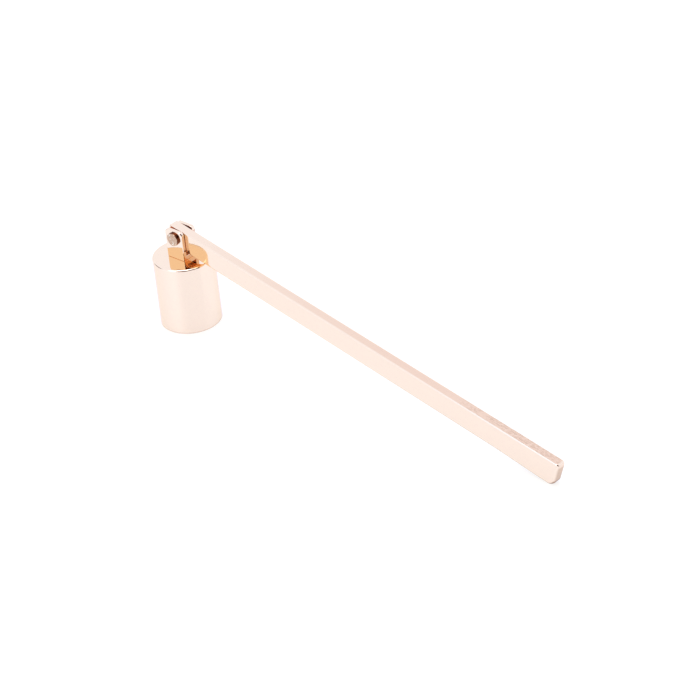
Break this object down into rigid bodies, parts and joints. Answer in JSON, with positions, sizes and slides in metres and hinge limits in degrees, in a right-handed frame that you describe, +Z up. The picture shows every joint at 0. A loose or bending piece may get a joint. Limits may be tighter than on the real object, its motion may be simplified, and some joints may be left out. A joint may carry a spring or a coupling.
{
  "type": "candle snuffer",
  "caption": "Polished rose-gold candle snuffer: an open cylindrical bell hung by a slotted clevis and a rivet from a long flat bar handle.",
  "frame": {"origin": "bottom centre of the box around the whole object at rest, on the table's surface", "axes": "+Z up along the bell's axis, +X from the bell to the handle's tip, +Y along the pivot rivet"},
  "size_m": [0.206, 0.025, 0.043],
  "materials": {
    "rose_gold_plate": "mirror-polished rose-gold plating on steel",
    "bare_steel": "bare, hammered and slightly warm grey"
  },
  "bodies": {
    "bell": {"bell_cup": "rose_gold_plate", "clevis": "rose_gold_plate", "pivot_rivet": "bare_steel", "clevis_screw": "bare_steel", "lock_washer": "bare_steel"},
    "handle": {"handle_bar": "rose_gold_plate"}
  },
  "joints": [
    {"name": "handle_pivot", "type": "hinge", "parent": "bell", "child": "handle", "pos_m": [-0.09046, 0, 0.0387], "axis": [0, -1, 0], "range_deg": [-7.5, 212]}
  ]
}
